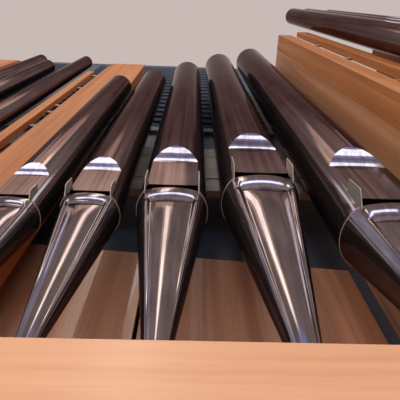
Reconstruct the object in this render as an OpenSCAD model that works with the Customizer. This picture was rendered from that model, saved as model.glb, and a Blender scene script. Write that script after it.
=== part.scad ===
// Church organ: an open-topped wooden case in five bays with a front of
// nineteen tin pipes, and a louvred swell box standing behind them.
// The middle of the footprint is the origin; the front faces -Y.

/* [Case] */
// Height of the plinth
plinth_h = 120; // [100:1:150]
// Height of the boards that the pipe feet stand on
toe_z = 1840; // [1800:1:1880]
// Height of the tops of the case posts
post_top = 4450; // [4420:1:4600]
// Outside depth of the case
case_depth = 1200; // [1180:1:1260]
// Thickness of the boards that close the case
board_t = 25; // [20:1:28]

/* [Middle bay] */
// Distance from the middle of the organ to the edge of the wide inner post
mid_edge = 323; // [320:1:330]
// Width of the wide inner post
inner_post_w = 216; // [190:1:220]
// Width of the set-back strip along the inner post
strip_w = 36; // [30:1:40]
// Width of the thin batten beside each slot
batten_w = 40; // [32:1:44]
// Width of the dark slot between post and batten
slot_w = 28; // [22:1:32]
// Spacing of the three middle pipes
mid_pitch = 150; // [142:1:155]
// Diameter of the middle pipes
mid_d = 80; // [74:1:84]
// Height of the middle pipe above the foot boards
mid_length = 2240; // [2200:1:2300]
// Height of the two pipes beside it
mid_side_length = 2560; // [2500:1:2580]

/* [Side flats] */
// Height of the pipe mouths above the foot boards, added to every pipe
mouth_lift = 0; // [-30:1:30]
// Width of a mouth as a share of the pipe diameter
mouth_share = 0.72; // [0.7:0.01:0.76]
// Height of the flattened upper lip as a share of the mouth width
lip_share = 1.25; // [1:0.05:1.35]
// Height of the arch over the lip as a share of the mouth width
arch_share = 0.45; // [0.35:0.01:0.5]
// Opening of the mouth as a share of the mouth width
cut_share = 0.26; // [0.22:0.01:0.3]
// Thickness of the pipe metal
metal_t = 2; // [1.5:0.1:2.5]

/* [Corner towers] */
// Distance from the middle of the organ to the inner side of a tower
tower_in = 1443; // [1440:1:1450]
// Width of a tower
tower_w = 740; // [730:1:760]
// Width of the front face of a tower post
tower_post_w = 84; // [76:1:88]
// Width of the dark slot between tower post and batten
tower_slot = 38; // [32:1:40]
// Width of the batten beside each tower slot
tower_batten_w = 74; // [68:1:76]
// Spacing of the three tower pipes
tower_pitch = 145; // [138:1:148]
// Diameter of the tower pipes
tower_d = 120; // [110:1:124]
// Height of the middle tower pipe above the foot boards
tower_length = 3380; // [3300:1:3450]
// How much shorter the pipes beside it are
tower_step = 120; // [80:1:160]

/* [Swell box] */
// Height of the top of the swell box
swell_top = 5400; // [5350:1:5450]
// Width of the swell box
swell_w = 2640; // [2600:1:2700]
// Number of louvres in each half of the swell front
louvre_n = 18; // [14:1:19]
// Tilt of the louvres
louvre_tilt = 35; // [28:1:40]

/* [Hidden] */
$fn = 72;
eps = 0.3;
deck_t = 30;
plinth_t = 80;
rail_t = 20;
overhang = 25;
front = -case_depth / 2;
back = case_depth / 2;
// Planes counted from the tower fronts at the front.
tower_y = front + overhang;
lip_y = front + 310;
frame_y = lip_y;
rail_y = frame_y - rail_t;
rail_top = toe_z + 8;
post_y = lip_y + 110;
post_d = 50;
behind_y = post_y + post_d;
batten_top = post_top - 300;
tower_axis = front + 104;
tower_post_y = lip_y - 113;
tower_post_back = lip_y - 21;
mid_axis = lip_y + 85;
mid_side_axis = lip_y + 100;
return_back = behind_y - 25;
tower_out = tower_in + tower_w;
tower_mid = tower_in + tower_w / 2;
// Back wall, and the swell box between the flats and the back wall.
wall_y = back - overhang - board_t;
swell_y = lip_y + 260;
swell_d = wall_y - 40 - swell_y;
swell_low = 3440;
lower_set = 22;
flat_x = [564, 697, 847, 1030, 1255];
flat_d = [98, 110, 138, 164, 178];
flat_mouth = [361, 385, 421, 494, 385];
flat_length = [1480, 1631, 1891, 2224, 2543];

// Group: shared shapes.
// A block given by its two opposite corners.
module block(a, b) {
  translate(a)
    cube(b - a);
}

// The same shape on both sides of the organ.
module both_sides() {
  children();
  mirror([1, 0, 0])
    children();
}

// Outline of everything in front of the pressed lip of a pipe, seen from
// the side: an upright plane, then a slope that runs out to the skin.
module lip_cut(r, off, z_low, z_crease, z_arch, wide) {
  rotate([90, 0, 90])
    linear_extrude(height = wide, center = true)
      polygon([
        [-off, z_low],
        [-off, z_crease],
        [-r, z_arch],
        [-r - 30, z_arch + 30 * (z_arch - z_crease) / (r - off)],
        [-r - 30, z_low]
      ]);
}

// The hollow that the lower lip leaves in the cone of the foot: as wide as
// the mouth along the band, then a long strip that narrows towards the toe
// and comes out to the skin half way down.
module lower_lip_cut(r, w, off, low, toe) {
  set = off - 0.11 * w;
  band = low - 0.2 * w;
  mid = low / 2;
  r_mid = (r + toe) / 2;
  half_mid = (0.4 * w + 0.7 * toe) / 2;
  intersection() {
    rotate([90, 0, 90])
      linear_extrude(height = w, center = true)
        polygon([
          [-set, low + 1],
          [-set, band],
          [-r_mid, mid],
          [-r - 30, mid],
          [-r - 30, low + 1]
        ]);
    rotate([90, 0, 0])
      linear_extrude(height = 2 * r + 80, center = true)
        polygon([
          [-half_mid, mid],
          [half_mid, mid],
          [0.4 * w, band],
          [w / 2, band],
          [w / 2, low + 1],
          [-w / 2, low + 1],
          [-w / 2, band],
          [-0.4 * w, band]
        ]);
  }
}

// The bowed band along the top of the lower lip, leaning forward.
module lip_band(w, off, low) {
  bow = 1.8 * w;
  intersection() {
    rotate([90, 0, 90])
      linear_extrude(height = w, center = true)
        polygon([
          [-off + 0.11 * w + 4, low - 0.2 * w],
          [-off + 0.11 * w, low - 0.2 * w],
          [-off - 0.07 * w, low],
          [-off + 0.11 * w + 4, low]
        ]);
    translate([0, -off - 0.07 * w + bow, low - w])
      cylinder(r = bow, h = 2 * w);
  }
}

// Organ pipe standing on its toe at z = 0, with its mouth towards -Y:
// a tapered foot whose lower lip is pressed in below a bowed band, the
// languid, the flattened upper lip under its arch, a ring and two ears.
module organ_pipe(d, mouth, length) {
  r = d / 2;
  w = mouth_share * d;
  off = r * sqrt(1 - mouth_share * mouth_share);
  cut = cut_share * w;
  low = mouth - cut;
  crease = mouth + lip_share * w;
  arch = crease + arch_share * w;
  toe = d * 0.065 + 1;
  ri = r - metal_t;
  offi = off - metal_t;
  // Body tube with the lip pressed flat.
  difference() {
    translate([0, 0, low])
      cylinder(r = r, h = length - low);
    lip_cut(r, off, low - 1, crease, arch, 2 * r + 4);
    difference() {
      translate([0, 0, low + 5])
        cylinder(r = ri, h = length - low);
      lip_cut(ri, offi, low - 1, crease, arch, 2 * r + 4);
    }
    // The mouth itself.
    translate([-w / 2 + 1, -r - 1, low + 5])
      cube([w - 2, r - off + metal_t + 3, cut - 5]);
  }
  // Foot, and the band on its lower lip.
  difference() {
    cylinder(r1 = toe, r2 = r, h = low);
    lower_lip_cut(r, w, off, low, toe);
  }
  lip_band(w, off, low);
  // Ring of solder between foot and body.
  difference() {
    translate([0, 0, low - 2])
      cylinder(r = r + 0.8, h = 4);
    translate([-r - 2, -r - 40, low - 4])
      cube([2 * r + 4, 40 + r - off, 8]);
  }
  // Ears.
  for (s = [-1, 1])
    translate([s * (w / 2 + 0.5), 0, 0])
      rotate([90, 0, 90])
        linear_extrude(height = 2, center = true)
          polygon([
            [-off + 3, low - 0.14 * w],
            [-off - 0.14 * w, low - 0.1 * w],
            [-off - 0.21 * w, low + 0.04 * w],
            [-off - 0.19 * w, mouth - 0.02 * w],
            [-off + 3, mouth + 0.22 * w]
          ]);
}

// One pipe of a side flat, its lip on the common plane of the flat.
module flat_pipe(i, s) {
  d = flat_d[i];
  off = d / 2 * sqrt(1 - mouth_share * mouth_share);
  translate([s * flat_x[i], lip_y + off, toe_z])
    organ_pipe(d, flat_mouth[i] + mouth_lift, flat_length[i]);
}

// Group: case.
// Planks on edge round the foot of the case, each a straight piece.
module plinth() {
  color("burlywood") {
    block([-tower_in + overhang + eps, frame_y - overhang, 0],
      [tower_in - overhang - eps, frame_y - overhang + plinth_t, plinth_h]);
    block([-tower_out - overhang, back - plinth_t, 0],
      [tower_out + overhang, back, plinth_h]);
    both_sides() {
      block([tower_in - overhang, front, 0],
        [tower_out + overhang, front + plinth_t, plinth_h]);
      block([tower_out + overhang - plinth_t, front + plinth_t + eps, 0],
        [tower_out + overhang, back - plinth_t - eps, plinth_h]);
      block([tower_in - overhang, front + plinth_t + eps, 0],
        [tower_in - overhang + plinth_t, frame_y + 60, plinth_h]);
    }
  }
}

module back_wall() {
  color("burlywood")
    block([-tower_out, wall_y, plinth_h],
      [tower_out, wall_y + board_t, post_top]);
}

module end_wall(s) {
  x = s > 0 ? tower_out - board_t : -tower_out;
  color("burlywood")
    block([x, frame_y, plinth_h],
      [x + board_t, wall_y, post_top]);
}

module end_wall_left() {
  end_wall(-1);
}

module end_wall_right() {
  end_wall(1);
}

// Panel openings of the lower case: left edge and width of each.
panel_x = [[-1395, 440], [-915, 440], [-435, 395], [40, 395],
  [475, 440], [955, 440]];

module lower_frame() {
  z0 = plinth_h + 120;
  z1 = toe_z - deck_t - 190;
  color("burlywood") {
    block([-tower_in, frame_y, plinth_h], [tower_in, frame_y + 30, z0]);
    block([-tower_in, frame_y, z1],
      [tower_in, frame_y + 30, toe_z - deck_t]);
    for (i = [0:6])
      block([i == 0 ? -tower_in : panel_x[i - 1][0] + panel_x[i - 1][1],
        frame_y, z0 + eps],
        [i == 6 ? tower_in : panel_x[i][0], frame_y + 30, z1 - eps]);
  }
}

module lower_panels() {
  color("burlywood")
    for (p = panel_x)
      block([p[0], frame_y + 12, plinth_h + 120],
        [p[0] + p[1], frame_y + 24, toe_z - deck_t - 190]);
}

module tower_base(s) {
  z = toe_z - deck_t;
  color("burlywood")
    translate([s * tower_mid, 0, 0]) {
      difference() {
        block([-tower_w / 2, tower_y, plinth_h],
          [tower_w / 2, tower_y + 40, z]);
        block([-tower_w / 2 + 90, tower_y - 1, plinth_h + 120],
          [tower_w / 2 - 90, tower_y + 14, z - 190]);
      }
      for (m = [0, 1])
        mirror([m, 0, 0])
          block([tower_w / 2 - board_t, tower_y + 40 + eps, plinth_h],
            [tower_w / 2, frame_y, z]);
    }
}

module tower_base_left() {
  tower_base(-1);
}

module tower_base_right() {
  tower_base(1);
}

module chest_deck() {
  color("burlywood")
    block([-tower_out + board_t, frame_y, toe_z - deck_t],
      [tower_out - board_t, wall_y, toe_z]);
}

module tower_toe_boards() {
  color("burlywood")
    both_sides()
      block([tower_in, tower_y, toe_z - deck_t],
        [tower_out, frame_y, toe_z]);
}

module front_rail() {
  color("burlywood")
    block([-tower_in, rail_y, rail_top - 160],
      [tower_in, frame_y, rail_top]);
}

module tower_rails() {
  color("burlywood")
    both_sides()
      block([tower_in, tower_y - rail_t, rail_top - 160],
        [tower_out, tower_y, rail_top]);
}

module inner_posts() {
  color("burlywood")
    both_sides()
      difference() {
        block([mid_edge - strip_w, post_y, toe_z],
          [mid_edge + inner_post_w, behind_y, post_top]);
        block([mid_edge - strip_w - 1, post_y - 1, toe_z - 1],
          [mid_edge, post_y + 18, post_top + 1]);
      }
}

module middle_battens() {
  x = mid_edge - strip_w - slot_w;
  color("burlywood")
    both_sides()
      block([x - batten_w, post_y + 4, toe_z],
        [x, post_y + 29, batten_top]);
}

module middle_spacers() {
  x = mid_edge - strip_w;
  color("silver")
    both_sides()
      for (z = [1720, 1110, 910, 800, 420, 60])
        translate([x - slot_w, post_y + 23.5, batten_top - z])
          rotate([0, 90, 0])
            cylinder(r = 5.5, h = slot_w);
}

module tower_posts() {
  color("burlywood")
    both_sides() {
      block([tower_in, tower_post_y, toe_z],
        [tower_in + tower_post_w, tower_post_back, post_top]);
      block([tower_out - tower_post_w, tower_post_y, toe_z],
        [tower_out, frame_y, post_top]);
    }
}

module tower_battens() {
  x = tower_w / 2 - tower_post_w - tower_slot - tower_batten_w;
  color("burlywood")
    both_sides()
      translate([tower_mid, 0, 0])
        for (m = [0, 1])
          mirror([m, 0, 0])
            block([x, tower_post_y - 22, toe_z],
              [x + tower_batten_w, tower_post_y + 10, post_top]);
}

module tower_spacers() {
  x = tower_w / 2 - tower_post_w - tower_slot;
  color("silver")
    both_sides()
      for (s = [0, 1])
        translate([tower_mid, 0, 0])
          mirror([s, 0, 0])
            for (z = [280, 780, 1280, 1780])
              translate([x, tower_post_y + 5, batten_top - z])
                rotate([0, 90, 0])
                  cylinder(r = 5, h = tower_slot);
}

// Side of a tower, with a cleat at its back edge for the back rail.
module return_panels() {
  color("burlywood")
    both_sides() {
      block([tower_in, tower_post_back, toe_z],
        [tower_in + 22, return_back, post_top - 10]);
      block([tower_in, return_back - 20, toe_z + 732],
        [tower_in + 22, behind_y, toe_z + 1075]);
    }
}

// Two planks one above the other, with a thin gap between them.
module back_rail(x0, x1) {
  block([x0, behind_y, toe_z + 732], [x1, behind_y + 22, toe_z + 811]);
  block([x0, behind_y, toe_z + 819], [x1, behind_y + 22, toe_z + 1075]);
}

module flat_back_rails() {
  color("burlywood")
    both_sides()
      back_rail(mid_edge + 60, tower_in + 22);
}

module middle_back_rail() {
  color("burlywood")
    back_rail(-mid_edge - 40, mid_edge + 40);
}

// Wide boards behind the pipe feet, running back a little to the outside.
module inner_boards() {
  color("burlywood")
    both_sides()
      translate([mid_edge + inner_post_w - 60, behind_y + 43, toe_z])
        rotate([0, 0, 4.2]) {
          cube([290, 18, 510]);
          translate([305, 0, 0])
            cube([495, 18, 510]);
        }
}

// Group: swell box.
module swell_sides() {
  color("slategray")
    both_sides()
      block([swell_w / 2 - 30, swell_y + 40, toe_z],
        [swell_w / 2, swell_y + swell_d - 30, swell_top - 30]);
}

module swell_back() {
  color("slategray")
    block([-swell_w / 2, swell_y + swell_d - 30, toe_z],
      [swell_w / 2, swell_y + swell_d, swell_top - 30]);
}

module swell_lower_front() {
  color("slategray")
    block([-swell_w / 2, swell_y + lower_set, toe_z],
      [swell_w / 2, swell_y + 40, swell_low]);
}

module swell_frame() {
  z0 = swell_low + 60;
  z1 = swell_top - 90;
  color("slategray") {
    block([-swell_w / 2, swell_y, swell_low],
      [swell_w / 2, swell_y + 40, z0]);
    block([-swell_w / 2, swell_y, z1],
      [swell_w / 2, swell_y + 40, swell_top - 30]);
    block([-50, swell_y, z0 + eps], [50, swell_y + 40, z1 - eps]);
    both_sides()
      block([swell_w / 2 - 60, swell_y, z0 + eps],
        [swell_w / 2, swell_y + 40, z1 - eps]);
  }
}

module swell_louvres() {
  span = swell_top - 90 - swell_low - 60;
  step = span / louvre_n;
  color("slategray")
    for (s = [-1, 1], i = [0:louvre_n - 1])
      translate([s * (swell_w / 4 - 5), swell_y + 20,
        swell_low + 60 + (i + 0.5) * step])
        rotate([-louvre_tilt, 0, 0])
          cube([swell_w / 2 - 110, 16, step * 0.8], center = true);
}

module swell_roof() {
  color("slategray")
    block([-swell_w / 2, swell_y, swell_top - 30],
      [swell_w / 2, swell_y + swell_d, swell_top]);
}

// Group: pipes.
module middle_pipe_centre() {
  color("silver")
    translate([0, mid_axis, toe_z])
      organ_pipe(mid_d, 520 + mouth_lift, mid_length);
}

module middle_pipe_left() {
  color("silver")
    translate([-mid_pitch, mid_side_axis, toe_z])
      organ_pipe(mid_d, 470 + mouth_lift, mid_side_length);
}

module middle_pipe_right() {
  color("silver")
    translate([mid_pitch, mid_side_axis, toe_z])
      organ_pipe(mid_d, 470 + mouth_lift, mid_side_length);
}

module flat_pipe_right_1() {
  color("silver")
    flat_pipe(0, 1);
}

module flat_pipe_right_2() {
  color("silver")
    flat_pipe(1, 1);
}

module flat_pipe_right_3() {
  color("silver")
    flat_pipe(2, 1);
}

module flat_pipe_right_4() {
  color("silver")
    flat_pipe(3, 1);
}

module flat_pipe_right_5() {
  color("silver")
    flat_pipe(4, 1);
}

module flat_pipe_left_1() {
  color("silver")
    flat_pipe(0, -1);
}

module flat_pipe_left_2() {
  color("silver")
    flat_pipe(1, -1);
}

module flat_pipe_left_3() {
  color("silver")
    flat_pipe(2, -1);
}

module flat_pipe_left_4() {
  color("silver")
    flat_pipe(3, -1);
}

module flat_pipe_left_5() {
  color("silver")
    flat_pipe(4, -1);
}

module tower_pipes(s) {
  color("silver")
    translate([s * tower_mid, tower_axis, toe_z])
      for (i = [-1:1])
        translate([i * tower_pitch, 0, 0])
          organ_pipe(tower_d, (i == 0 ? 1250 : 1150) + mouth_lift,
            tower_length - (i == 0 ? 0 : tower_step));
}

module tower_pipes_right() {
  tower_pipes(1);
}

module tower_pipes_left() {
  tower_pipes(-1);
}

plinth();
back_wall();
end_wall_left();
end_wall_right();
lower_frame();
lower_panels();
tower_base_left();
tower_base_right();
chest_deck();
tower_toe_boards();
front_rail();
tower_rails();
inner_posts();
middle_battens();
middle_spacers();
tower_posts();
tower_battens();
tower_spacers();
return_panels();
flat_back_rails();
middle_back_rail();
inner_boards();
swell_sides();
swell_back();
swell_lower_front();
swell_frame();
swell_louvres();
swell_roof();
middle_pipe_centre();
middle_pipe_left();
middle_pipe_right();
flat_pipe_right_1();
flat_pipe_right_2();
flat_pipe_right_3();
flat_pipe_right_4();
flat_pipe_right_5();
flat_pipe_left_1();
flat_pipe_left_2();
flat_pipe_left_3();
flat_pipe_left_4();
flat_pipe_left_5();
tower_pipes_right();
tower_pipes_left();
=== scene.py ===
"""Church pipe organ: wooden case, polished tin front pipes and swell box.

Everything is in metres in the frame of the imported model: the middle of the
footprint is the origin, the pipe front faces -Y and Z is up.
"""
import logging
import math
from collections.abc import Callable
from dataclasses import dataclass
from enum import Enum
from functools import cache

import bmesh
import bpy
from mathutils import Matrix, Vector


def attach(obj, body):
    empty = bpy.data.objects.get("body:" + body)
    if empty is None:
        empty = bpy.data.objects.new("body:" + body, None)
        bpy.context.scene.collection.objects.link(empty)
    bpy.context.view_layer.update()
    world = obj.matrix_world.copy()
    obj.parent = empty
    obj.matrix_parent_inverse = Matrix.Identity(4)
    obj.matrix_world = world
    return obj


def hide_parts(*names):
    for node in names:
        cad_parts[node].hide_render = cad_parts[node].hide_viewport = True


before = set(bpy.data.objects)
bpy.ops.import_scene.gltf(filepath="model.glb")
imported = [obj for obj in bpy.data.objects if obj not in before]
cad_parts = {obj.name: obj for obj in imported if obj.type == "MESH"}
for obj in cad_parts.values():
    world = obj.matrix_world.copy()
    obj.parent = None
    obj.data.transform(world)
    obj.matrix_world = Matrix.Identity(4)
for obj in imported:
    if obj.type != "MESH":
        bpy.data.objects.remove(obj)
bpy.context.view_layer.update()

LOG = logging.getLogger("organ")
ROOT = "root"
MM_PER_M = 1000.0
RELIEF_DEPTH = 0.0004
FINE_DETAIL = 3.0
SOFT_DETAIL = 2.0
BISECTIONS = 24


def linear(code: str) -> tuple[float, float, float, float]:
    """Turn an sRGB hex colour into linear light.

    Args:
        code: Six hex digits, such as "c08040".

    Returns:
        The colour as linear red, green, blue and an alpha of one.
    """
    out = []
    for i in (0, 2, 4):
        c = int(code[i:i + 2], 16) / 255.0
        out.append(c / 12.92 if c <= 0.04045 else ((c + 0.055) / 1.055) ** 2.4)
    return out[0], out[1], out[2], 1.0


def add_node(tree: bpy.types.NodeTree, kind: str,
             settings: dict | None = None,
             links: dict | None = None) -> bpy.types.Node:
    """Add one node with its settings and links.

    Args:
        tree: The node tree that takes the node.
        kind: Blender's name of the node type.
        settings: Attributes by name, or input values by socket.
        links: Output sockets to plug in, by input socket.

    Returns:
        The new node.
    """
    node = tree.nodes.new(kind)
    for key, value in (settings or {}).items():
        if isinstance(key, str) and hasattr(node, key):
            setattr(node, key, value)
        else:
            node.inputs[key].default_value = value
    for key, socket in (links or {}).items():
        tree.links.new(socket, node.inputs[key])
    return node


class Grain(Enum):
    """Which way the pattern of a surface runs, as its scale on each axis."""
    UPRIGHT = (1.0, 1.0, 0.03)
    CROSSWISE = (0.03, 1.0, 1.0)
    EVEN = (1.0, 1.0, 1.0)


@dataclass(frozen=True)
class Finish:
    """A surface of two tones that a pattern mixes, with a fine relief."""
    name: str
    light: str
    dark: str

    def start(self) -> tuple[bpy.types.Material, bpy.types.NodeTree,
                             bpy.types.Node]:
        """Open a node material.

        Returns:
            The material, its node tree and its surface shader.
        """
        mat = bpy.data.materials.new(self.name)
        mat.use_nodes = True
        tree = mat.node_tree
        return mat, tree, tree.nodes["Principled BSDF"]

    def colour(self, tree: bpy.types.NodeTree, shader: bpy.types.Node,
               tone: bpy.types.NodeSocket, height: bpy.types.NodeSocket,
               strength: float) -> None:
        """Mix the two tones and raise the relief.

        Args:
            tree: The node tree of the material.
            shader: Its surface shader.
            tone: Socket that runs from 0, dark, to 1, light.
            height: Socket with the height of the relief.
            strength: How strongly the relief shows.
        """
        mix = add_node(tree, "ShaderNodeMix",
                       {"data_type": "RGBA", 6: linear(self.dark),
                        7: linear(self.light)}, {0: tone})
        bump = add_node(tree, "ShaderNodeBump",
                        {"Strength": strength, "Distance": RELIEF_DEPTH},
                        {"Height": height})
        tree.links.new(mix.outputs[2], shader.inputs["Base Color"])
        tree.links.new(bump.outputs[0], shader.inputs["Normal"])


@dataclass(frozen=True)
class PlankWood(Finish):
    """Planed wood: fine straight pores over a broader figure.

    The pores of the real wood are under a millimetre apart. They are drawn
    a few millimetres apart, because finer ones don't show in the render.
    """
    grain: Grain
    pore_mm: float = 3.0
    figure_mm: float = 45.0
    pore_share: float = 0.35
    waver: float = 0.6
    tone_range: tuple[float, float] = (0.45, 0.9)
    relief: float = 0.12
    roughness: float = 0.42
    coat: float = 0.25
    coat_roughness: float = 0.2
    shine: float = 0.5

    @cache
    def make(self) -> bpy.types.Material:
        """Build the material, once.

        Returns:
            The finished wood material.
        """
        mat, tree, shader = self.start()
        coords = add_node(tree, "ShaderNodeTexCoord")
        plank = add_node(tree, "ShaderNodeAttribute",
                         {"attribute_name": "plank"})
        shift = add_node(tree, "ShaderNodeVectorMath",
                         {"operation": "ADD"},
                         {0: coords.outputs["Object"],
                          1: plank.outputs["Vector"]})
        grain = add_node(tree, "ShaderNodeMapping",
                         {"Scale": self.grain.value},
                         {"Vector": shift.outputs[0]})
        figure = add_node(tree, "ShaderNodeTexNoise",
                          {"Scale": MM_PER_M / self.figure_mm,
                           "Detail": FINE_DETAIL,
                           "Distortion": self.waver},
                          {"Vector": grain.outputs[0]})
        pores = add_node(tree, "ShaderNodeTexNoise",
                         {"Scale": MM_PER_M / self.pore_mm,
                          "Detail": SOFT_DETAIL},
                         {"Vector": grain.outputs[0]})
        both = add_node(tree, "ShaderNodeMath",
                        {"operation": "MULTIPLY_ADD", 1: self.pore_share},
                        {0: pores.outputs[0], 2: figure.outputs[0]})
        tone = add_node(tree, "ShaderNodeMapRange",
                        {"From Min": self.tone_range[0],
                         "From Max": self.tone_range[1]},
                        {"Value": both.outputs[0]})
        self.colour(tree, shader, tone.outputs[0], pores.outputs[0],
                    self.relief)
        shader.inputs["Roughness"].default_value = self.roughness
        shader.inputs["Specular IOR Level"].default_value = self.shine
        shader.inputs["Coat Weight"].default_value = self.coat
        shader.inputs["Coat Roughness"].default_value = self.coat_roughness
        return mat


@dataclass(frozen=True)
class PolishedTin(Finish):
    """Hand-planed polished tin sheet: a dark mirror with upright streaks.

    Plane marks are about a millimetre apart. They are drawn 9 mm apart,
    because finer ones don't show in the render. The dark tone and dimmed
    edge tint are painted shade, for the dark room that the sheet mirrors.
    """
    edge: str
    streak_mm: float = 9.0
    streak_stretch: tuple[float, float, float] = (1.0, 1.0, 0.02)
    clouds_per_m: float = 9.0
    cloud_share: float = 0.4
    tone_range: tuple[float, float] = (0.5, 0.9)
    relief: float = 0.006
    metallic: float = 0.93
    roughness: float = 0.095

    @cache
    def make(self) -> bpy.types.Material:
        """Build the material, once.

        Returns:
            The finished tin material.
        """
        mat, tree, shader = self.start()
        coords = add_node(tree, "ShaderNodeTexCoord")
        long = add_node(tree, "ShaderNodeMapping",
                        {"Scale": self.streak_stretch},
                        {"Vector": coords.outputs["Object"]})
        streak = add_node(tree, "ShaderNodeTexNoise",
                          {"Scale": MM_PER_M / self.streak_mm,
                           "Detail": FINE_DETAIL},
                          {"Vector": long.outputs[0]})
        cloud = add_node(tree, "ShaderNodeTexNoise",
                         {"Scale": self.clouds_per_m,
                          "Detail": SOFT_DETAIL},
                         {"Vector": coords.outputs["Object"]})
        both = add_node(tree, "ShaderNodeMath",
                        {"operation": "MULTIPLY_ADD", 1: self.cloud_share},
                        {0: cloud.outputs[0], 2: streak.outputs[0]})
        tone = add_node(tree, "ShaderNodeMapRange",
                        {"From Min": self.tone_range[0],
                         "From Max": self.tone_range[1]},
                        {"Value": both.outputs[0]})
        self.colour(tree, shader, tone.outputs[0], streak.outputs[0],
                    self.relief)
        shader.inputs["Metallic"].default_value = self.metallic
        shader.inputs["Roughness"].default_value = self.roughness
        shader.inputs["Specular Tint"].default_value = linear(self.edge)
        return mat


@dataclass(frozen=True)
class MottledFinish(Finish):
    """A paint or metal whose tone, gloss and skin vary a little.

    Brush strokes and tool marks are finer than a millimetre. They are drawn
    as coarse as mottle_mm, because finer ones don't show in the render.
    """
    grain: Grain = Grain.EVEN
    mottle_mm: float = 4.0
    tone_range: tuple[float, float] = (0.3, 0.7)
    metallic: float = 0.0
    roughness: float = 0.5
    gloss_change: float = 0.06
    relief: float = 0.05

    @cache
    def make(self) -> bpy.types.Material:
        """Build the material, once.

        Returns:
            The finished material.
        """
        mat, tree, shader = self.start()
        coords = add_node(tree, "ShaderNodeTexCoord")
        grain = add_node(tree, "ShaderNodeMapping",
                         {"Scale": self.grain.value},
                         {"Vector": coords.outputs["Object"]})
        mottle = add_node(tree, "ShaderNodeTexNoise",
                          {"Scale": MM_PER_M / self.mottle_mm,
                           "Detail": FINE_DETAIL},
                          {"Vector": grain.outputs[0]})
        tone = add_node(tree, "ShaderNodeMapRange",
                        {"From Min": self.tone_range[0],
                         "From Max": self.tone_range[1]},
                        {"Value": mottle.outputs[0]})
        gloss = add_node(tree, "ShaderNodeMapRange",
                         {"To Min": self.roughness + self.gloss_change,
                          "To Max": self.roughness - self.gloss_change},
                         {"Value": tone.outputs[0]})
        self.colour(tree, shader, tone.outputs[0], mottle.outputs[0],
                    self.relief)
        tree.links.new(gloss.outputs[0], shader.inputs["Roughness"])
        shader.inputs["Metallic"].default_value = self.metallic
        return mat


# Cherry boards, planed and oiled: matt orange-brown with long streaks.
OILED_CHERRY = PlankWood("cherry_upright", "cc8856", "a46034",
                         Grain.UPRIGHT, coat=0.0, roughness=0.55, shine=0.12)
# Cherry rubbed to a satin on the returns, with a soft sheen from its gloss;
# its paler, pinker tone is painted light, a lit copy of the posts' cherry.
SATIN_CHERRY_PAINTED_LIGHT = PlankWood("cherry_satin_painted_light_upright", "d89c70", "ac724e",
                         Grain.UPRIGHT, coat=0.0, roughness=0.5, shine=0.3)
# Cherry rails under a thin varnish: light peach with fine level streaks.
VARNISHED_CHERRY = PlankWood("cherry_crosswise", "eaac7d", "da9b6c",
                             Grain.CROSSWISE, pore_mm=2.4, figure_mm=20.0)
# Veneered board under gloss varnish: red-brown, and mirrors the feet softly.
GLOSS_BROWN = PlankWood("reddish_brown_board", "e6a680", "b27c5f",
                        Grain.UPRIGHT, coat=0.6, coat_roughness=0.06,
                        roughness=0.35)
# Bare pine gone grey: dull, pale level planks behind the pipes.
GREY_PINE = PlankWood("grey_pine_crosswise", "afa293", "85786b",
                      Grain.CROSSWISE, coat=0.0, roughness=0.6)
# Brushed oil paint: dark blue-grey, with faint strokes along each louvre.
LOUVRE_PAINT = MottledFinish("blue_grey_louvre_paint", "404855", "343a45",
                             Grain.CROSSWISE, roughness=0.55, relief=0.15)
# Turned steel: small bright rods with an uneven gloss.
TURNED_STEEL = MottledFinish("steel_peg", "948e8c", "847e7c", mottle_mm=2.0,
                             metallic=1.0, roughness=0.3)
# Polished tin sheet, sharp so the lamps show as bright lines; its dark tone
# and dimmed edge tint are painted shade, for the dark room the pipes mirror.
PIPE_TIN = PolishedTin("polished_tin", "867a7a", "6b6161", "948483")
# Scraped solder and cast tin: paler than the sheet, cloudy and half matt.
SCRAPED_SOLDER = MottledFinish("satin_tin_fittings", "bfb6ae", "aba29a",
                               mottle_mm=5.0, metallic=0.5, roughness=0.36,
                               relief=0.1)


def new_object(name: str, bm: bmesh.types.BMesh,
               material: bpy.types.Material, smooth: bool) -> bpy.types.Object:
    """Turn a bmesh into an object at the origin.

    Args:
        name: Name of the new object.
        bm: The shape; it is freed.
        material: Its only material.
        smooth: Whether faces shade smoothly.

    Returns:
        The new object, linked into the scene.
    """
    for face in bm.faces:
        face.smooth = smooth
    mesh = bpy.data.meshes.new(name)
    bm.to_mesh(mesh)
    bm.free()
    mesh.materials.append(material)
    obj = bpy.data.objects.new(name, mesh)
    bpy.context.scene.collection.objects.link(obj)
    return obj


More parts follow.
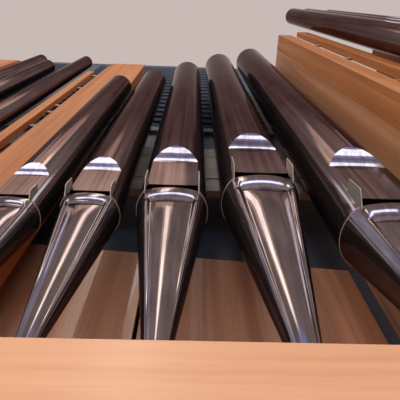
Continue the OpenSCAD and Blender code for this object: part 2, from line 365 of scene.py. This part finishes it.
@dataclass
class Boards:
    """Boards or pegs of one finish, with their sharp edges eased."""
    nodes: list[str]
    finish: PlankWood | MottledFinish
    slot: str
    ease: float = 0.0012
    weld: float = 0.00001
    flat_angle: float = math.radians(1.0)
    sharp_angle: float = math.radians(40.0)

    def build(self) -> list[bpy.types.Object]:
        """Make each node's eased copy, in its finish.

        Returns:
            The new pieces.
        """
        material = self.finish.make()
        out = []
        for node in self.nodes:
            piece = self.eased(node, material)
            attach(piece, ROOT)
            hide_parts(node)
            out.append(piece)
        return out

    def eased(self, node: str,
              material: bpy.types.Material) -> bpy.types.Object:
        """Copy a CAD node, merge its triangles and ease its edges.

        Args:
            node: Name of the CAD node.
            material: Material of the copy.

        Returns:
            The eased object.
        """
        bm = bmesh.new()
        bm.from_mesh(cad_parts[node].data)
        bmesh.ops.remove_doubles(bm, verts=bm.verts, dist=self.weld)
        bmesh.ops.dissolve_limit(bm, angle_limit=self.flat_angle,
                                 verts=bm.verts, edges=bm.edges)
        self.refine(bm)
        sharp = [e for e in bm.edges if len(e.link_faces) == 2
                 and e.calc_face_angle(0.0) > self.sharp_angle]
        bmesh.ops.bevel(bm, geom=sharp, offset=self.ease, segments=2,
                        profile=0.5, affect="EDGES", material=-1,
                        clamp_overlap=True)
        self.number_planks(bm)
        return new_object(node + "_board", bm, material, False)

    def refine(self, bm: bmesh.types.BMesh) -> None:
        """Change the plain planks before their edges are eased.

        Args:
            bm: The planks, still with square edges.
        """

    def number_planks(self, bm: bmesh.types.BMesh) -> None:
        """Give each separate plank its own shift of the grain.

        Args:
            bm: The shape whose loose parts are the planks.
        """
        layer = bm.verts.layers.float_vector.new("plank")
        seen: set[int] = set()
        bm.verts.ensure_lookup_table()
        bm.verts.index_update()
        count = 0
        for start in bm.verts:
            if start.index in seen:
                continue
            stack = [start]
            seen.add(start.index)
            shift = self.grain_shift(count)
            count += 1
            while stack:
                vert = stack.pop()
                vert[layer] = shift
                for edge in vert.link_edges:
                    other = edge.other_vert(vert)
                    if other.index not in seen:
                        seen.add(other.index)
                        stack.append(other)

    @staticmethod
    def grain_shift(count: int) -> Vector:
        """Pick a place in the grain that no other plank is near.

        Args:
            count: Number of the plank.

        Returns:
            The shift of its grain.
        """
        reach, x_turn, y_turn, climb = 3.0, 2.4, 1.7, 1.37
        return Vector((math.sin(count * x_turn) * reach,
                       math.cos(count * y_turn) * reach, count * climb))


@dataclass
class SeamedBoards(Boards):
    """The brown boards behind the feet, with a fine seam between them."""
    seam_x: tuple[float, float] = (0.70, 0.85)
    facing: float = 0.9
    inner_step: float = 0.015
    outer_step: float = 0.0075

    def refine(self, bm: bmesh.types.BMesh) -> None:
        """Move both sides of each seam outwards and closer together.

        Args:
            bm: The planks, still with square edges.
        """
        for face in bm.faces:
            middle = face.calc_center_median()
            outward = face.normal.x * math.copysign(1.0, middle.x)
            if (self.seam_x[0] < abs(middle.x) < self.seam_x[1]
                    and abs(outward) > self.facing):
                step = self.inner_step if outward > 0 else -self.outer_step
                bmesh.ops.translate(bm, verts=face.verts,
                                    vec=face.normal * step)


@dataclass
class SubAssembly:
    """A part of the organ that is made of groups of boards."""
    ease: float = 0.0012

    def groups(self) -> list[Boards]:
        """List the groups of boards, each with its finish."""
        return []

    def build(self) -> list[bpy.types.Object]:
        """Make and dress every board.

        Returns:
            The new pieces.
        """
        return [piece for group in self.groups() for piece in group.build()]


@dataclass
class LowerCase(SubAssembly):
    """The plinth, panels, bases, outer walls, and the decks and rails."""

    def groups(self) -> list[Boards]:
        """List the oiled boards, the varnished rails and the back.

        Returns:
            The groups.
        """
        return [
            Boards(["end_wall_left", "end_wall_right", "lower_panels",
                    "tower_base_left", "tower_base_right", "lower_frame"],
                   OILED_CHERRY, "case_wood", self.ease),
            Boards(["plinth", "chest_deck", "tower_toe_boards",
                    "front_rail", "tower_rails"],
                   VARNISHED_CHERRY, "case_wood", self.ease),
            Boards(["back_wall"], GLOSS_BROWN, "brown_wood", self.ease)]


@dataclass
class PostsAndSides(SubAssembly):
    """Posts between the bays, with battens on metal pegs, and the sides."""
    peg_ease: float = 0.0004

    def groups(self) -> list[Boards]:
        """List the posts and battens, the sides and the pegs.

        Returns:
            The groups.
        """
        return [
            Boards(["inner_posts", "middle_battens", "tower_posts",
                    "tower_battens"], OILED_CHERRY, "case_wood", self.ease),
            # The returns' paler, pinker tone is painted light.
            Boards(["return_panels"], SATIN_CHERRY_PAINTED_LIGHT, "case_wood", self.ease),
            Boards(["middle_spacers", "tower_spacers"], TURNED_STEEL,
                   "bright_metal", self.peg_ease)]


@dataclass
class PipeBacking(SubAssembly):
    """The brown boards behind the feet and the grey rails over them."""

    def groups(self) -> list[Boards]:
        """List the brown boards and the rails.

        Returns:
            The groups.
        """
        return [
            SeamedBoards(["inner_boards"], GLOSS_BROWN, "brown_wood",
                         self.ease),
            Boards(["flat_back_rails", "middle_back_rail"], GREY_PINE,
                   "brown_wood", self.ease)]


@dataclass
class SwellBox(SubAssembly):
    """The painted box behind the pipes, with its level louvres."""

    def groups(self) -> list[Boards]:
        """List the painted boards and louvres.

        Returns:
            The one group.
        """
        return [
            Boards(["swell_sides", "swell_back", "swell_lower_front",
                    "swell_frame", "swell_louvres", "swell_roof"],
                   LOUVRE_PAINT, "louvre_paint", self.ease)]


@dataclass
class Row:
    """One row of a pipe's sheet: a strip in front and a round back.

    The front turns a place across the strip, -1 to 1, into a forward
    distance and a height.
    """
    z: float
    r: float
    half: float
    front: Callable[[float], tuple[float, float]]


@dataclass
class PipeShape:
    """Sizes of one organ pipe that stands on its toe, mouth towards -Y.

    Heights are measured from the toe, forward distances from the axis.
    Sizes of the mouth are shares of the width of its lip.
    """
    x: float
    y: float
    diameter: float
    mouth: float
    length: float
    toe_z: float = 1.84
    # The lip's width, as a share of the diameter.
    share: float = 0.72
    # The upper lip: its height, the arch over it, and the arch's slight wave.
    lip: float = 1.23
    arch: float = 0.45
    ripple: float = 0.16
    turns: float = 8.7
    # The mouth and the bowed band below it.
    cut: float = 0.26
    band_height: float = 0.26
    bow: float = 0.07
    ledge: float = 0.38
    ledge_run: float = 0.85
    band_edge: int = 14
    # The toe of the foot.
    toe_share: float = 0.065
    toe_least: float = 0.001
    # The strip that is pressed into the foot, and its rounded shoulders.
    press_depth: float = 0.07
    press_half: float = 0.4
    press_toe: float = 0.7
    belly: float = 0.3
    crown: tuple[float, float] = (0.04, 0.11)
    fall: tuple[float, float] = (0.10, 0.15)
    side_slope: float = 1.2
    shoulder: float = 0.08
    # The metal of the sheet and of what is soldered to it.
    wall: float = 0.0014
    weld: float = 0.00002
    bead: float = 0.0012
    ear_thick: float = 0.0019
    ear_gap: float = 0.0002
    ear_bevel: float = 0.0007
    plate_gap: float = 0.004
    # How finely the sheet is divided.
    lip_columns: int = 40
    side_columns: int = 52
    column_crowd: float = 0.35
    panel_rows: int = 14
    panel_crowd: float = 0.85
    band_rows: int = 12
    arch_rows: int = 14
    round_steps: int = 48

    # Outline of an ear: shares of the lip's width from the lip's face
    # backwards, and from the upper edge of the mouth upwards.
    EAR = ((0.03, -0.36), (-0.02, -0.35), (-0.13, -0.25), (-0.21, -0.18),
           (-0.225, -0.13), (-0.205, 0.12), (-0.185, 0.29), (-0.17, 0.31),
           (-0.10, 0.29), (0.0, 0.25), (0.03, 0.25))

    def __post_init__(self) -> None:
        """Work out the radii and heights of the mouth."""
        self.r = self.diameter / 2
        self.w = self.share * self.diameter
        self.off = self.r * math.sqrt(1 - self.share ** 2)
        self.low = self.mouth - self.cut * self.w
        self.band = self.low - self.band_height * self.w
        self.inset = self.off - self.press_depth * self.w
        self.crease = self.mouth + self.lip * self.w
        self.arch_top = self.crease + self.arch * self.w
        self.toe = self.diameter * self.toe_share + self.toe_least

    def foot_radius(self, z: float) -> float:
        """Radius of the tapered foot at a height above the toe."""
        return self.toe + (self.r - self.toe) * min(z, self.low) / self.low

    def pressed(self, x: float, z: float) -> tuple[float, float]:
        """Find the pressed strip and the round skin of the foot.

        Args:
            x: Distance from the middle of the strip.
            z: Height above the toe.

        Returns:
            Forward distance of the pressed strip with its shoulder, and of
            the round skin.
        """
        t = z / self.band
        plane = self.toe + ((self.inset - self.toe) * t
                            * (1 + self.belly - self.belly * t))
        near_toe = self.press_toe * self.toe
        reach = self.press_half * self.w
        half = near_toe + (reach - near_toe) * z / self.band
        swell = min(max(self.band - z, 0.0) / reach, 1.0)
        crown = half * (self.crown[0] + self.crown[1] * swell)
        fall = half * (self.fall[0] + self.fall[1] * swell)
        x = abs(x)
        if x < half:
            strip = plane + crown - fall * (x / half) ** 2
        else:
            strip = plane + crown - fall + self.side_slope * (x - half)
        r = self.foot_radius(z)
        return strip, math.sqrt(max(r * r - x * x, 0.0))

    def foot_front(self, x: float, z: float) -> float:
        """Find the front of the foot, with its shoulders rounded over.

        Args:
            x: Distance from the middle of the strip.
            z: Height above the toe.

        Returns:
            The forward distance.
        """
        strip, skin = self.pressed(x, z)
        soft = self.shoulder * self.w
        blend = max(soft - abs(strip - skin), 0.0) / soft
        return min(strip, skin) - blend * blend * soft / 4

    def strip_half(self, z: float) -> float:
        """Find how far the press has touched the foot, by halving.

        Args:
            z: Height above the toe.

        Returns:
            Half the width of the pressed strip with its shoulders.
        """
        widest, narrowest = 0.97, 0.3
        low, high = 0.0, self.foot_radius(z) * widest
        for _ in range(BISECTIONS):
            mid = (low + high) / 2
            strip, skin = self.pressed(mid, z)
            if strip - skin >= self.shoulder * self.w:
                high = mid
            else:
                low = mid
        return max(high, self.foot_radius(z) * narrowest)

    def wave(self, s: float) -> float:
        """Depth of the arch at a share of its height, before scaling."""
        return s + self.ripple * math.sin(self.turns * s) / self.turns

    def arch_depth(self, rise: float) -> float:
        """Share of the arch's depth at a share of its height."""
        return self.wave(rise) / self.wave(1.0)

    def arch_rise(self, depth: float) -> float:
        """Turn a share of the arch's depth into one of its height.

        Args:
            depth: Share of the depth, from 0 to 1.

        Returns:
            Share of the height.
        """
        low, high = 0.0, 1.0
        for _ in range(BISECTIONS):
            mid = (low + high) / 2
            if self.arch_depth(mid) >= depth:
                high = mid
            else:
                low = mid
        return high

    def round_row(self, z: float, r: float, half: float) -> Row:
        """Make a row that is round all the way.

        Args:
            z: Height above the toe.
            r: Radius.
            half: Half width of the strip's columns.

        Returns:
            The row.
        """
        return Row(z, r, half,
                   lambda u: (math.sqrt(max(r * r - (u * half) ** 2, 0)), z))

    def foot_row(self, z: float) -> Row:
        """Make a row of the foot, with its pressed strip.

        Args:
            z: Height above the toe.

        Returns:
            The row.
        """
        half = self.strip_half(z)
        return Row(z, self.foot_radius(z), half,
                   lambda u: (self.foot_front(u * half, z), z))

    def band_row(self, t: float) -> Row:
        """Make a row of the bowed band under the mouth.

        Args:
            t: Share of the band's height.

        Returns:
            The row.
        """
        z = self.band + (self.low - self.band) * t
        start = self.strip_half(self.band)
        half = start + (self.w / 2 - start) * t
        return Row(z, self.foot_radius(z), half,
                   lambda u: (self.band_front(u, t, z, start, half), z))

    def band_front(self, u: float, t: float, z: float, start: float,
                   half: float) -> float:
        """Find the front of the band: a small ledge, then a bowed face.

        Args:
            u: Place across the band, from -1 to 1.
            t: Share of the band's height.
            z: Height above the toe.
            start: Half width of the strip below the band.
            half: Half width of the band at this height.

        Returns:
            The forward distance.
        """
        skin = math.sqrt(self.foot_radius(z) ** 2 - half ** 2)
        below = self.foot_front(u * start, self.band)
        above = self.off + self.bow * self.w * (1 - u * u)
        rest = max(1 - t / self.ledge_run, 0.0)
        full = 1 - (1 - self.ledge) * rest * rest if t else 0.0
        lean = below + (above - below) * full
        return lean + (skin - lean) * abs(u) ** self.band_edge

    def flat_row(self, z: float) -> Row:
        """Make a row of the flat upper lip."""
        return Row(z, self.r, self.w / 2, lambda u: (self.off, z))

    def arch_row(self, share: float) -> Row:
        """Make a row of the arch over the upper lip."""
        return Row(self.crease, self.r, self.w / 2,
                   lambda u: self.arch_front(u, share))

    def arch_front(self, u: float, share: float) -> tuple[float, float]:
        """Find a point of the arch, which meets the round body at its top.

        Args:
            u: Place across the arch, from -1 to 1.
            share: Share of the way from the crease to the round body.

        Returns:
            The forward distance and the height.
        """
        skin = math.sqrt(self.r ** 2 - (u * self.w / 2) ** 2)
        depth = self.r - self.off
        rise = share * self.arch_rise(max((skin - self.off) / depth, 0.0))
        return (self.off + depth * self.arch_depth(rise),
                self.crease + rise * self.arch * self.w)

    def rows(self) -> list[Row]:
        """List the rows of the rolled sheet, from the toe to the rim.

        Returns:
            The rows, each with its strip and its round back.
        """
        tip_height, tip, tip_half = 0.002, 0.8 * self.toe, 0.3 * self.toe
        fold, under_crease, over_arch = 0.0012, 0.003, 0.012
        ledge, face = 0.04, 0.05
        out = [self.round_row(0.0, tip, tip_half),
               self.round_row(tip_height, self.toe, tip_half)]
        out += [self.foot_row(
            self.band * (i / self.panel_rows) ** self.panel_crowd)
            for i in range(1, self.panel_rows)]
        out += [self.foot_row(self.band - fold), self.band_row(0.0),
                self.band_row(ledge)]
        out += [self.band_row(face + (1 - face) * i / self.band_rows)
                for i in range(self.band_rows + 1)]
        out += [self.flat_row(self.mouth),
                self.flat_row(self.crease - under_crease)]
        out += [self.arch_row(i / self.arch_rows)
                for i in range(self.arch_rows + 1)]
        out += [self.round_row(z, self.r, self.w / 2)
                for z in (self.arch_top + over_arch, self.length)]
        return out

    def across(self, half: float, r: float) -> list[tuple[bool, float]]:
        """Share a row's columns between the strip and the round side.

        Args:
            half: Half width of the strip.
            r: Radius of the round side.

        Returns:
            For each column, whether it is on the strip, and its place
            across the strip or its angle from the front.
        """
        edge = math.asin(min(half / r, 1.0))
        n = self.side_columns // 2
        left = [(False, -math.pi + (math.pi - edge) * i / n)
                for i in range(n)]
        strip = [(True, math.sin(math.pi * (i / self.lip_columns - 0.5)
                                 * (2 * self.column_crowd))
                  / math.sin(math.pi * self.column_crowd))
                 for i in range(self.lip_columns + 1)]
        right = [(False, edge + (math.pi - edge) * (i + 1) / n)
                 for i in range(n)]
        return left + strip + right

    def roll_sheet(self, bm: bmesh.types.BMesh) -> None:
        """Roll a grid into the foot and body, and cut the mouth.

        Args:
            bm: The bmesh that takes the skin.
        """
        rows = self.rows()
        columns = self.side_columns + self.lip_columns + 1
        made = bmesh.ops.create_grid(bm, x_segments=columns - 1,
                                     y_segments=len(rows) - 1, size=1.0)
        verts = made["verts"]
        grid: list[list[bmesh.types.BMVert]] = []
        for j, row in enumerate(rows):
            line = verts[j * columns:(j + 1) * columns]
            places = self.across(row.half, row.r)
            for vert, (strip, place) in zip(line, places):
                if strip:
                    forward, height = row.front(place)
                    vert.co = (place * row.half, -forward, height)
                else:
                    vert.co = (row.r * math.sin(place),
                               -row.r * math.cos(place), row.z)
            grid.append(line)
        self.open_mouth(bm, grid)
        bmesh.ops.remove_doubles(bm, verts=bm.verts, dist=self.weld)
        for edge in bm.edges:
            if edge.is_boundary:
                edge.smooth = False

    def open_mouth(self, bm: bmesh.types.BMesh,
                   grid: list[list[bmesh.types.BMVert]]) -> None:
        """Cut the mouth, and fold its sides and the arch's rim crisply.

        Args:
            bm: The bmesh of the skin.
            grid: Its vertices, row by row from the toe.
        """
        first = self.side_columns // 2
        last = first + self.lip_columns
        # The band's last row, counting from 0; the mouth opens above it.
        low_row = self.panel_rows + self.band_rows + 4
        # The arch's last row; the two round rows stand over it.
        rim = len(grid) - 3
        gone = []
        for i in range(first, last):
            gone += [f for f in grid[low_row][i].link_faces
                     if f in grid[low_row + 1][i + 1].link_faces]
            self.crisp(bm, grid[rim][i], grid[rim][i + 1])
        for j in range(low_row - 2, rim + 1):
            for i in (first, last):
                self.crisp(bm, grid[j][i], grid[j + 1][i])
        bmesh.ops.delete(bm, geom=gone, context="FACES_ONLY")

    @staticmethod
    def crisp(bm: bmesh.types.BMesh, a: bmesh.types.BMVert,
              b: bmesh.types.BMVert) -> None:
        """Mark the edge between two vertices as a crisp fold.

        Args:
            bm: The bmesh that holds them.
            a: One end of the edge.
            b: The other end.
        """
        edge = bm.edges.get((a, b))
        if edge:
            edge.smooth = False

    def add_ears(self, bm: bmesh.types.BMesh) -> None:
        """Solder a thin pointed plate to each side of the mouth.

        Args:
            bm: The bmesh that takes the plates.
        """
        rim_angle = 1.0
        for s in (-1, 1):
            x = s * (self.w / 2 + self.ear_gap)
            ring = [bm.verts.new((x, back * self.w - self.off,
                                  self.mouth + up * self.w))
                    for back, up in self.EAR]
            face = bm.faces.new(ring)
            made = bmesh.ops.extrude_face_region(bm, geom=[face])
            moved = [v for v in made["geom"]
                     if isinstance(v, bmesh.types.BMVert)]
            bmesh.ops.translate(bm, verts=moved,
                                vec=(s * self.ear_thick, 0, 0))
            rims = dict.fromkeys(e for v in ring + moved
                                 for e in v.link_edges
                                 if e.calc_face_angle(0.0) > rim_angle)
            bmesh.ops.bevel(bm, geom=list(rims), offset=self.ear_bevel,
                            segments=2, profile=0.5, affect="EDGES",
                            material=-1)

    def add_ring(self, bm: bmesh.types.BMesh) -> None:
        """Run a thin bead of solder round the joint of foot and body.

        Args:
            bm: The bmesh that takes the bead.
        """
        start = math.asin(self.share)
        circle = bmesh.ops.create_circle(bm, segments=8, radius=self.bead)
        verts = circle["verts"]
        bmesh.ops.rotate(bm, verts=verts, cent=(0, 0, 0),
                         matrix=Matrix.Rotation(math.pi / 2, 3, "X"))
        bmesh.ops.translate(bm, verts=verts, vec=(self.r, 0, self.low))
        bmesh.ops.rotate(bm, verts=verts, cent=(0, 0, 0),
                         matrix=Matrix.Rotation(-math.pi / 2 + start, 3, "Z"))
        edges = list(dict.fromkeys(e for v in verts for e in v.link_edges))
        bmesh.ops.spin(bm, geom=verts + edges, cent=(0, 0, 0),
                       axis=(0, 0, 1), angle=2 * (math.pi - start),
                       steps=self.round_steps, use_merge=False)

    def add_languid(self, bm: bmesh.types.BMesh) -> None:
        """Close the foot with its flat plate, just below the mouth.

        Args:
            bm: The bmesh that takes the plate.
        """
        made = bmesh.ops.create_circle(bm, segments=self.round_steps,
                                       cap_ends=True,
                                       radius=self.off - self.plate_gap)
        bmesh.ops.translate(bm, verts=made["verts"],
                            vec=(0, 0, self.low - self.plate_gap))

    def make(self, name: str, tin: bpy.types.Material,
             dull: bpy.types.Material) -> list[bpy.types.Object]:
        """Make the skin of the pipe and its soldered fittings.

        Args:
            name: Name that the pieces start with.
            tin: The material of the skin.
            dull: The material of the ears, the ring and the languid.

        Returns:
            The skin and the fittings, placed.
        """
        spot = Matrix.Translation((self.x, self.y, self.toe_z))
        skin = bmesh.new()
        self.roll_sheet(skin)
        bmesh.ops.recalc_face_normals(skin, faces=skin.faces)
        out = sum(f.normal.x * f.calc_center_median().x
                  + f.normal.y * f.calc_center_median().y
                  for f in skin.faces)
        if out < 0:
            bmesh.ops.reverse_faces(skin, faces=skin.faces)
        bmesh.ops.transform(skin, matrix=spot, verts=skin.verts)
        body = new_object(name, skin, tin, True)
        sheet = body.modifiers.new("wall", "SOLIDIFY")
        sheet.thickness = self.wall
        sheet.offset = -1.0
        parts = bmesh.new()
        self.add_ears(parts)
        self.add_ring(parts)
        self.add_languid(parts)
        bmesh.ops.recalc_face_normals(parts, faces=parts.faces)
        bmesh.ops.transform(parts, matrix=spot, verts=parts.verts)
        fittings = new_object(name + "_fittings", parts, dull, False)
        return [body, fittings]


@dataclass
class PipeFront:
    """All the front pipes, in the places where the model has them.

    A flat's pipe is its distance from the middle, its diameter, the height
    of its mouth and its length. The other bays give the last two as a pair.
    """
    lip_y: float = -0.29
    share: float = 0.72
    flat: tuple[tuple[float, float, float, float], ...] = (
        (0.564, 0.098, 0.361, 1.480), (0.697, 0.110, 0.385, 1.631),
        (0.847, 0.138, 0.421, 1.891), (1.030, 0.164, 0.494, 2.224),
        (1.255, 0.178, 0.385, 2.543))
    middle_d: float = 0.08
    middle_x: float = 0.15
    middle_side_y: float = -0.19
    middle_centre_y: float = -0.205
    middle_side: tuple[float, float] = (0.47, 2.56)
    middle_centre: tuple[float, float] = (0.52, 2.24)
    tower_d: float = 0.12
    tower_x: float = 1.813
    tower_y: float = -0.496
    tower_pitch: float = 0.145
    tower_side: tuple[float, float] = (1.15, 3.26)
    tower_centre: tuple[float, float] = (1.25, 3.38)

    def build(self) -> list[bpy.types.Object]:
        """Make every pipe and hide the solid that it stands for.

        Returns:
            The new pieces: each pipe's skin and its fittings.
        """
        tin, dull = PIPE_TIN.make(), SCRAPED_SOLDER.make()
        out = []
        for node, shapes in self.places().items():
            for i, shape in enumerate(shapes):
                for piece in shape.make(f"{node}_tin_{i}", tin, dull):
                    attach(piece, ROOT)
                    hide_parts(node)
                    out.append(piece)
        return out

    def places(self) -> dict[str, list[PipeShape]]:
        """List the pipes of each node.

        Returns:
            The pipes, by the name of the node they stand for.
        """
        sides = (("right", 1), ("left", -1))
        out: dict[str, list[PipeShape]] = {}
        for i, (x, d, mouth, length) in enumerate(self.flat):
            off = d / 2 * math.sqrt(1 - self.share ** 2)
            for side, s in sides:
                out[f"flat_pipe_{side}_{i + 1}"] = [
                    PipeShape(s * x, self.lip_y + off, d, mouth, length)]
        out["middle_pipe_centre"] = [PipeShape(
            0, self.middle_centre_y, self.middle_d, *self.middle_centre)]
        for side, s in reversed(sides):
            out[f"middle_pipe_{side}"] = [PipeShape(
                s * self.middle_x, self.middle_side_y, self.middle_d,
                *self.middle_side)]
        for side, s in sides:
            out[f"tower_pipes_{side}"] = [PipeShape(
                s * self.tower_x + i * self.tower_pitch, self.tower_y,
                self.tower_d,
                *(self.tower_side if i else self.tower_centre))
                for i in (-1, 0, 1)]
        return out


@dataclass(frozen=True)
class SoftLamp:
    """A flat panel of soft light that faces the mouths of the pipes.

    Its azimuth is in degrees to the right of straight in front, and its
    heights are the lowest and highest angle above the mouths. A radiance
    of 1 looks plain white. Away, width and shift, to the right, are metres.
    """
    name: str
    azimuth: float
    heights: tuple[float, float]
    away: float
    width: float
    radiance: float
    colour: str
    shift: float = 0.0

    def hang(self, mouths: Vector) -> None:
        """Place the lamp.

        Args:
            mouths: The point that the lamp faces.
        """
        low, high = (math.radians(a) for a in self.heights)
        lift, turn = (low + high) / 2, math.radians(self.azimuth)
        way = Vector((math.sin(turn) * math.cos(lift),
                      -math.cos(turn) * math.cos(lift), math.sin(lift)))
        data = bpy.data.lights.new(self.name, "AREA")
        data.shape = "RECTANGLE"
        data.size = self.width
        data.size_y = 2 * self.away * math.tan((high - low) / 2)
        data.energy = self.radiance * math.pi * data.size * data.size_y
        data.color = linear(self.colour)[:3]
        lamp = bpy.data.objects.new(self.name, data)
        side = Vector((math.cos(turn), math.sin(turn), 0.0))
        lamp.location = mouths + way * self.away + side * self.shift
        lamp.rotation_euler = (-way).to_track_quat("-Z", "Y").to_euler()
        bpy.context.scene.collection.objects.link(lamp)


# Three broad bands, white between two blue edges, give the arches and lower
# lips their bright zones. Warm panels overhead tint the upper lips, upright
# strips draw the lines down the feet, and a low lamp lights the wide rail.
WHITE, BLUE, TAN = "e2f0ff", "4c7cdc", "e3d2ba"
LAMPS = (
    SoftLamp("band_under", 0, (1, 8), 6.5, 6.8, 2.0, BLUE),
    SoftLamp("band_white", 0, (8, 19.2), 6.5, 6.8, 7.0, WHITE),
    SoftLamp("band_over", 0, (19.2, 25.2), 6.5, 6.8, 2.0, BLUE),
    SoftLamp("overhead_left", 0, (61, 70), 5.0, 2.9, 2.4, TAN, -1.55),
    SoftLamp("overhead_right", 0, (61, 70), 5.0, 2.4, 0.4, TAN, 1.7),
    SoftLamp("front_strip", -12, (24, 61), 4.2, 0.55, 4.6, "f8f6f0"),
    SoftLamp("front_edges", -12, (27, 61), 4.3, 1.1, 1.2, "ffe9d0"),
    SoftLamp("left_strip", -62, (35, 62), 4.0, 0.3, 3.0, WHITE),
    SoftLamp("right_strip", 62, (28, 62), 4.0, 0.4, 3.0, WHITE),
    SoftLamp("left_fill", -64, (15, 46), 4.5, 1.8, 0.8, "9ab8f0"),
    SoftLamp("low_key", -46, (-56, -44), 2.2, 1.0, 7.4, "fff0dc"),
)


@dataclass
class Studio:
    """Floor, pale surroundings, soft lamps and the camera."""
    mouths: tuple[float, float, float] = (0.9, -0.29, 2.35)
    eye: tuple[float, float, float] = (0.883, -0.62, 1.553)
    pitch: float = 62.9
    roll: float = -1.0
    yaw: float = 2.9
    lens: float = 36.0
    sensor: float = 36.0
    nearest: float = 0.01
    floor_half: float = 14.0
    floor_paint: str = "f0eeec"
    floor_roughness: float = 0.8
    floor_lift: float = 0.2
    floor_lift_tone: str = "efe9e6"
    ambient_tone: str = "f0dcc8"
    ambient: float = 0.43
    shown_tone: str = "c8bab5"

    def build(self) -> None:
        """Set up everything round the organ."""
        self.floor()
        self.surroundings()
        for lamp in LAMPS:
            lamp.hang(Vector(self.mouths))
        self.camera()

    def floor(self) -> None:
        """Lay a pale matt floor that stays pale far from the lamps."""
        bm = bmesh.new()
        bmesh.ops.create_grid(bm, x_segments=1, y_segments=1,
                              size=self.floor_half)
        paint = bpy.data.materials.new("pale_floor")
        paint.use_nodes = True
        tree = paint.node_tree
        shader = tree.nodes["Principled BSDF"]
        shader.inputs["Base Color"].default_value = linear(self.floor_paint)
        shader.inputs["Roughness"].default_value = self.floor_roughness
        shader.inputs["Emission Color"].default_value = linear(
            self.floor_lift_tone)
        lift = add_node(tree, "ShaderNodeMath",
                        {"operation": "MULTIPLY", 1: self.floor_lift},
                        {0: self.seen_rays(tree).outputs[0]})
        tree.links.new(lift.outputs[0], shader.inputs["Emission Strength"])
        new_object("studio_floor", bm, paint, False)

    @staticmethod
    def seen_rays(tree: bpy.types.NodeTree) -> bpy.types.Node:
        """Add a switch that is one for camera, mirror and glass rays.

        Args:
            tree: The node tree that takes the switch.

        Returns:
            The node whose first output is the switch.
        """
        path = add_node(tree, "ShaderNodeLightPath")
        seen = add_node(tree, "ShaderNodeMath", {"operation": "ADD"},
                        {0: path.outputs["Is Camera Ray"],
                         1: path.outputs["Is Glossy Ray"]})
        return add_node(tree, "ShaderNodeMath",
                        {"operation": "ADD", "use_clamp": True},
                        {0: seen.outputs[0],
                         1: path.outputs["Is Transmission Ray"]})

    def surroundings(self) -> None:
        """Surround the scene with an even pale tone."""
        world = bpy.data.worlds.new("studio")
        bpy.context.scene.world = world
        world.use_nodes = True
        tree = world.node_tree
        tree.nodes.clear()
        ambient = add_node(tree, "ShaderNodeBackground",
                           {"Color": linear(self.ambient_tone),
                            "Strength": self.ambient})
        shown = add_node(tree, "ShaderNodeBackground",
                         {"Color": linear(self.shown_tone),
                          "Strength": 1.0})
        mix = add_node(tree, "ShaderNodeMixShader", {},
                       {0: self.seen_rays(tree).outputs[0],
                        1: ambient.outputs[0], 2: shown.outputs[0]})
        add_node(tree, "ShaderNodeOutputWorld", {}, {0: mix.outputs[0]})

    def camera(self) -> None:
        """Stand the camera close under the pipes, looking steeply up."""
        data = bpy.data.cameras.new("eye_level")
        data.sensor_width = self.sensor
        data.lens = self.lens
        data.clip_start = self.nearest
        cam = bpy.data.objects.new("eye_level", data)
        turn = (Matrix.Rotation(math.radians(-self.yaw), 4, "Z")
                @ Matrix.Rotation(math.radians(90 + self.pitch), 4, "X")
                @ Matrix.Rotation(math.radians(self.roll), 4, "Z"))
        cam.matrix_world = Matrix.Translation(self.eye) @ turn
        bpy.context.scene.collection.objects.link(cam)
        bpy.context.scene.camera = cam
        bpy.context.scene.view_settings.view_transform = "Standard"


def main() -> None:
    """Dress the organ and set up the studio."""
    logging.basicConfig(level=logging.INFO, format="%(message)s")
    for part in (LowerCase(), PostsAndSides(), PipeBacking(), SwellBox(),
                 PipeFront()):
        for piece in part.build():
            LOG.info("%s in %s", piece.name, piece.data.materials[0].name)
    Studio().build()


if __name__ == "__main__":
    main()
